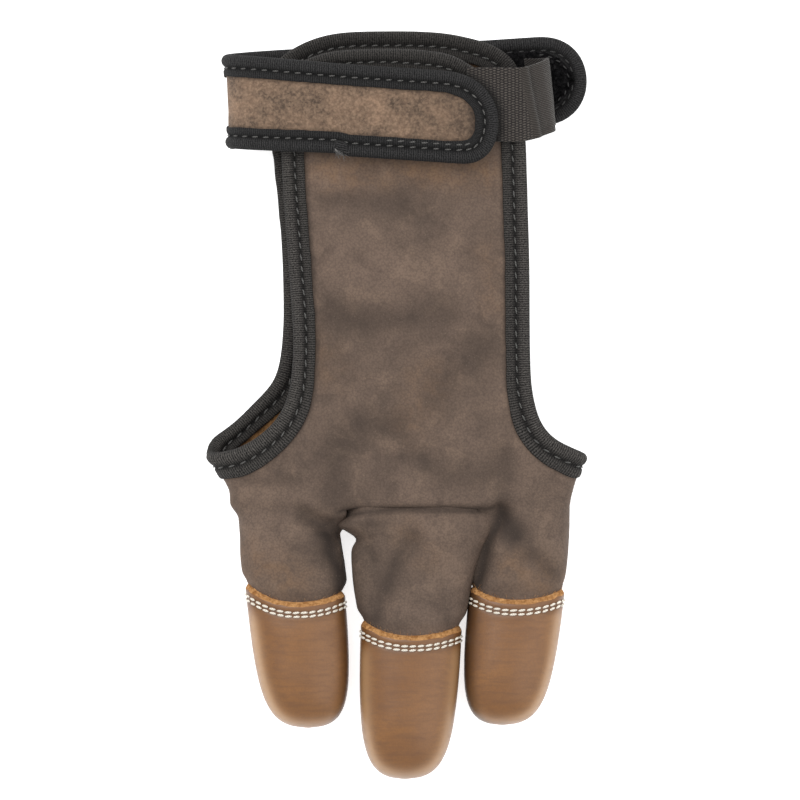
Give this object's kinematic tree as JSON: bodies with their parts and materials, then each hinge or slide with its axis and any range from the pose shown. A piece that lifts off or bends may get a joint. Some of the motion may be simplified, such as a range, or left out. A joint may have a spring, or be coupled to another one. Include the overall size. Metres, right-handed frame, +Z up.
{
  "type": "archery glove",
  "caption": "Leather shooting glove with stiff fingertip stalls, open sides and a wrist strap that an elastic closes, lying flat.",
  "frame": {"origin": "middle of the bounding box's underside, on the surface that the glove lies on", "axes": "+Y from the fingertips towards the wrist, +Z up from the surface, +X towards the little finger's side opening"},
  "size_m": [0.1092, 0.2164, 0.0281],
  "materials": {
    "body_leather": "matte",
    "stall_leather": "satin",
    "strap_leather": "matte",
    "binding_tape": "matte",
    "elastic": "matte",
    "loop_pile": "matte"
  },
  "bodies": {
    "root": {"body_leather": "body_leather", "middle_finger": "body_leather", "stall_left": "stall_leather", "stall_middle": "stall_leather", "stall_right": "stall_leather", "edge_binding": "binding_tape", "wrist_strap": "strap_leather", "strap_binding": "binding_tape", "elastic_band": "elastic", "loop_pad": "loop_pile"}
  },
  "joints": []
}
